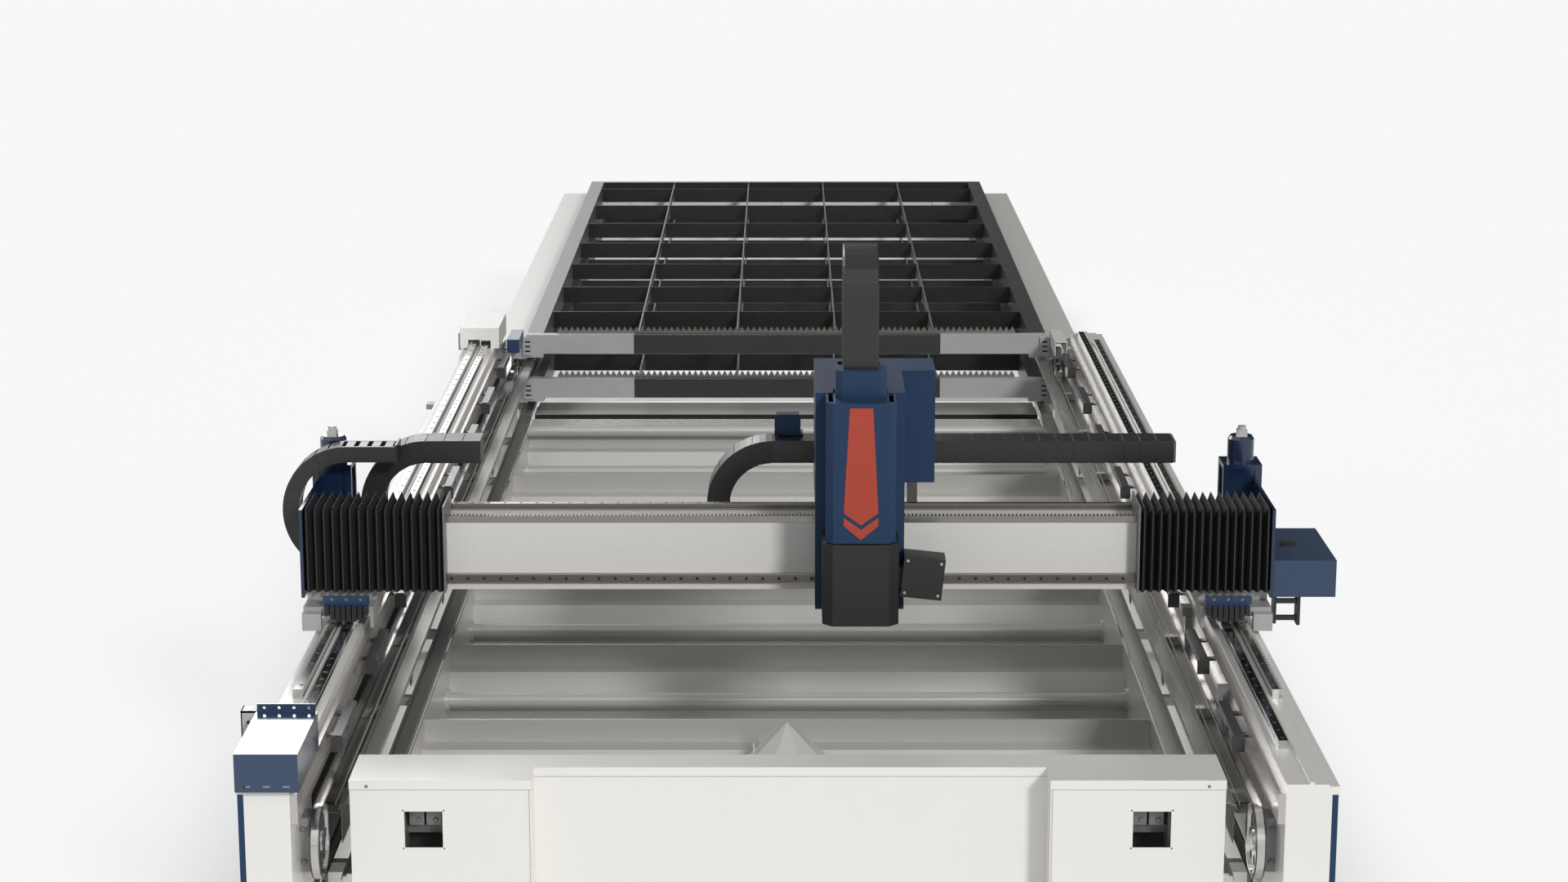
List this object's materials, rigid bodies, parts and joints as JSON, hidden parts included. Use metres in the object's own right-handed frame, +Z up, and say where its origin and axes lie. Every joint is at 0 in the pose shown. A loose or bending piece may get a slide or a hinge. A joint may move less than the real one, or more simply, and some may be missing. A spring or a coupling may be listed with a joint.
{
  "type": "laser cutting machine",
  "caption": "Large flat-bed sheet laser cutting machine with a travelling gantry, a cutting head on cross and lift slides, and two pallets on an exchange table.",
  "frame": {"origin": "on the floor, at the centre of the four outermost anchor holes", "axes": "+Y along the machine from the operator's end to the exchange table, +Z up, +X to the right seen from the operator's end"},
  "size_m": [3.906, 13.39, 2.3796],
  "materials": {
    "cream_paint": "satin, fine powder coat",
    "beam_paint": "satin",
    "blue_paint": "satin, fine powder coat",
    "navy_paint": "satin",
    "red_paint": "satin",
    "steel": "machined, bright",
    "sheet_steel": "rolled sheet, dull",
    "dark_steel": "dark, oiled",
    "grey_metal": "machined grey",
    "black_plastic": "moulded, matte",
    "bellows_cloth": "coated cloth, semi-matte",
    "black_paint": "satin black",
    "pallet_paint": "dark, hammered"
  },
  "bodies": {
    "machine_bed": {"left_side_beam": "cream_paint", "right_side_beam": "cream_paint", "side_bars": "steel", "y_rails": "steel", "y_racks": "dark_steel", "left_end_cover": "blue_paint", "far_left_cover": "cream_paint", "belt_hoods": "blue_paint", "pallet_tracks": "sheet_steel", "belt_guides": "dark_steel", "drive_belts": "steel", "front_cover": "cream_paint", "cross_members": "cream_paint", "hopper_panels": "sheet_steel", "extraction_duct": "sheet_steel", "levelling_feet": "dark_steel", "side_panels": "blue_paint", "belt_motors": "dark_steel", "bearing_blocks": "grey_metal", "exchange_frame": "cream_paint", "exchange_panels": "cream_paint"},
    "gantry": {"crossbeam": "beam_paint", "carriages": "grey_metal", "y_guide_blocks": "steel", "gantry_end_plates": "navy_paint", "bellows": "bellows_cloth", "servo_motors": "navy_paint", "reducers": "dark_steel", "x_rails": "steel", "x_rack": "dark_steel", "control_box": "blue_paint", "left_cable_chain": "black_plastic", "chain_duct": "black_plastic", "chain_support": "grey_metal", "x_chain_upper": "black_plastic", "rail_scrapers": "navy_paint"},
    "left_pinion": {"left_pinion": "steel"},
    "right_pinion": {"right_pinion": "steel"},
    "x_chain_bend": {"x_chain_bend": "black_plastic"},
    "head": {"x_saddle": "grey_metal", "head_housing": "blue_paint", "x_motor_cover": "blue_paint", "x_guide_blocks": "steel", "x_chain_lower": "black_plastic", "z_chain": "black_plastic"},
    "z_slide": {"z_cover": "blue_paint", "z_arrow": "red_paint", "lower_cover": "black_paint", "cutting_head": "steel", "sensor_box": "black_plastic"},
    "idler_wheels": {"idler_wheels": "steel"},
    "drive_wheels": {"drive_wheels": "steel"},
    "upper_pallet": {"upper_pallet_frame": "pallet_paint", "upper_pallet_slats": "sheet_steel"},
    "upper_front_axle": {"upper_front_axle": "steel"},
    "upper_rear_axle": {"upper_rear_axle": "steel"},
    "lower_pallet": {"lower_pallet_frame": "pallet_paint", "lower_pallet_slats": "sheet_steel"},
    "lower_front_axle": {"lower_front_axle": "steel"},
    "lower_rear_axle": {"lower_rear_axle": "steel"}
  },
  "joints": [
    {"name": "gantry_travel", "type": "slide", "parent": "machine_bed", "child": "gantry", "axis": [0, 1, 0], "range_m": [-1.1, 4.5]},
    {"name": "head_travel", "type": "slide", "parent": "gantry", "child": "head", "axis": [1, 0, 0], "range_m": [-1.33, 0.84], "deforming": ["x_chain_upper", "x_chain_lower"]},
    {"name": "x_chain_bend_travel", "type": "slide", "parent": "gantry", "child": "x_chain_bend", "axis": [1, 0, 0], "range_m": [-0.67, 0.425]},
    {"name": "head_lift", "type": "slide", "parent": "head", "child": "z_slide", "axis": [0, 0, 1], "range_m": [-0.035, 0.15], "deforming": ["z_chain"]},
    {"name": "upper_pallet_travel", "type": "slide", "parent": "machine_bed", "child": "upper_pallet", "axis": [0, 1, 0], "range_m": [-6.75, 0]},
    {"name": "lower_pallet_travel", "type": "slide", "parent": "machine_bed", "child": "lower_pallet", "axis": [0, 1, 0], "range_m": [-6.75, 0]},
    {"name": "left_pinion_spin", "type": "hinge", "parent": "gantry", "child": "left_pinion", "pos_m": [-1.7259, -4.40943, 0.95], "axis": [0, 0, 1], "continuous": true},
    {"name": "right_pinion_spin", "type": "hinge", "parent": "gantry", "child": "right_pinion", "pos_m": [1.7259, -4.40943, 0.95], "axis": [0, 0, 1], "continuous": true},
    {"name": "idler_wheel_spin", "type": "hinge", "parent": "machine_bed", "child": "idler_wheels", "pos_m": [0, -6.513, 0.691], "axis": [1, 0, 0], "continuous": true},
    {"name": "drive_wheel_spin", "type": "hinge", "parent": "machine_bed", "child": "drive_wheels", "pos_m": [0, 0.878, 0.691], "axis": [1, 0, 0], "continuous": true},
    {"name": "upper_front_axle_spin", "type": "hinge", "parent": "upper_pallet", "child": "upper_front_axle", "pos_m": [0, 1.102, 0.785], "axis": [1, 0, 0], "continuous": true},
    {"name": "upper_rear_axle_spin", "type": "hinge", "parent": "upper_pallet", "child": "upper_rear_axle", "pos_m": [0, 6.182, 0.785], "axis": [1, 0, 0], "continuous": true},
    {"name": "lower_front_axle_spin", "type": "hinge", "parent": "lower_pallet", "child": "lower_front_axle", "pos_m": [0, 1.102, 0.54], "axis": [1, 0, 0], "continuous": true},
    {"name": "lower_rear_axle_spin", "type": "hinge", "parent": "lower_pallet", "child": "lower_rear_axle", "pos_m": [0, 6.182, 0.54], "axis": [1, 0, 0], "continuous": true}
  ],
  "couplings": [
    {"joint": "x_chain_bend_travel", "follows": "head_travel", "ratio": 0.5},
    {"joint": "left_pinion_spin", "follows": "gantry_travel", "rad_per_m": -19.608},
    {"joint": "right_pinion_spin", "follows": "gantry_travel", "rad_per_m": 19.608},
    {"joint": "idler_wheel_spin", "follows": "upper_pallet_travel", "rad_per_m": -8.3333},
    {"joint": "drive_wheel_spin", "follows": "upper_pallet_travel", "rad_per_m": -8.3333},
    {"joint": "upper_front_axle_spin", "follows": "upper_pallet_travel", "rad_per_m": -22.222},
    {"joint": "upper_rear_axle_spin", "follows": "upper_pallet_travel", "rad_per_m": -22.222},
    {"joint": "lower_front_axle_spin", "follows": "lower_pallet_travel", "rad_per_m": -22.222},
    {"joint": "lower_rear_axle_spin", "follows": "lower_pallet_travel", "rad_per_m": -22.222}
  ]
}
